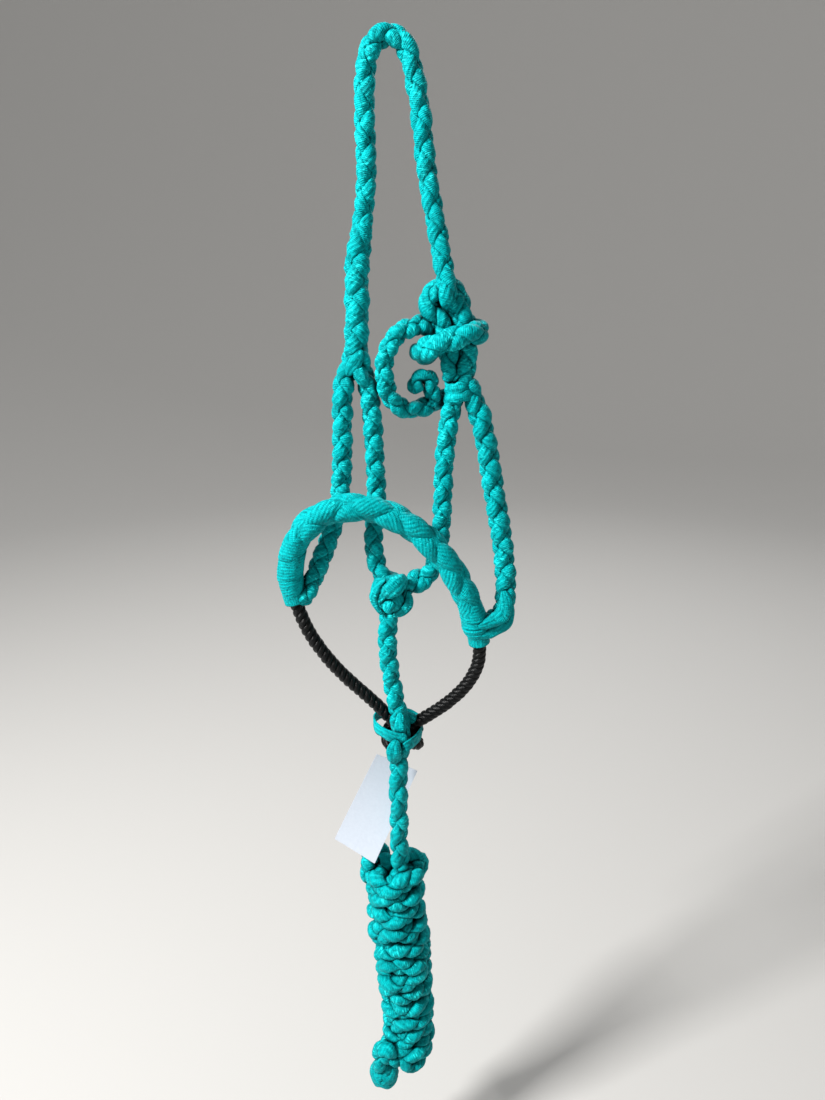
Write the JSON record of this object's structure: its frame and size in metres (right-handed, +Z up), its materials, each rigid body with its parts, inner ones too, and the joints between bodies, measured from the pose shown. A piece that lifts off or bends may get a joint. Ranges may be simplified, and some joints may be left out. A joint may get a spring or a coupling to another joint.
{
  "type": "rope halter",
  "caption": "Braided rope halter with a stiff tape-wound noseband, a tied crown, a chin strap and a hanked lead, hanging from its crown strap.",
  "frame": {"origin": "the underside of the crown strap's top bend, on the hook that the halter hangs from", "axes": "+X across the halter to the viewer's right, +Y away from the side that faces out, +Z up"},
  "size_m": [0.1843, 0.0591, 0.8915],
  "materials": {
    "teal_braid": "braided flat polyester tape, slight sheen",
    "teal_knot": "bound flat polyester tape",
    "teal_tape": "wound flat polyester tape, ribbed",
    "black_lariat": "waxy laid rope",
    "white_card": "uncoated card",
    "string": "cotton string"
  },
  "bodies": {
    "halter": {"crown_strap": "teal_braid", "crown_splice": "teal_braid", "fork_seizing": "teal_knot", "left_cheek": "teal_braid", "left_throat": "teal_braid", "right_cheek": "teal_braid", "right_throat": "teal_braid", "eye_loop": "teal_braid", "eye_neck": "teal_knot", "tie_turns": "teal_braid"},
    "tie_tail": {"tie_tail": "teal_braid", "tail_fold": "teal_tape"},
    "noseband": {"lariat_core": "black_lariat", "noseband_cover": "teal_tape", "left_whipping": "teal_tape", "right_whipping": "teal_tape", "chin_knot": "teal_knot", "chin_strap": "teal_braid", "heel_seizing": "teal_knot", "heel_knot": "black_lariat", "lead_loop": "teal_tape"},
    "lead_neck": {"lead_neck": "teal_knot"},
    "lead": {"lead_drop": "teal_braid"},
    "hank": {"lead_hank": "teal_braid", "lead_bights": "teal_braid", "lead_end": "teal_braid", "lead_end_knot": "teal_knot"},
    "tag": {"hang_tag": "white_card", "tag_string": "string"}
  },
  "joints": [
    {"name": "tail_swing", "type": "hinge", "parent": "halter", "child": "tie_tail", "pos_m": [0.016, -0.002, -0.1725], "axis": [0, 0, 1], "range_deg": [0, 25]},
    {"name": "noseband_swing", "type": "hinge", "parent": "halter", "child": "noseband", "pos_m": [-0.059, -0.005, -0.366], "axis": [0.979, 0, -0.204], "range_deg": [0, 40]},
    {"name": "lead_pitch", "type": "hinge", "parent": "noseband", "child": "lead_neck", "pos_m": [0.003, -0.0135, -0.5074], "axis": [1, 0, 0], "range_deg": [-45, 0]},
    {"name": "lead_swing", "type": "hinge", "parent": "lead_neck", "child": "lead", "pos_m": [0.003, -0.0135, -0.5074], "axis": [0, 1, 0], "range_deg": [-30, 30]},
    {"name": "hank_swing", "type": "hinge", "parent": "lead", "child": "hank", "pos_m": [0.002, -0.008, -0.63], "axis": [1, 0, 0], "range_deg": [-15, 15]},
    {"name": "tag_swing", "type": "hinge", "parent": "noseband", "child": "tag", "pos_m": [0.004, 0.007, -0.524], "axis": [0, 1, 0], "range_deg": [-50, 30]}
  ]
}
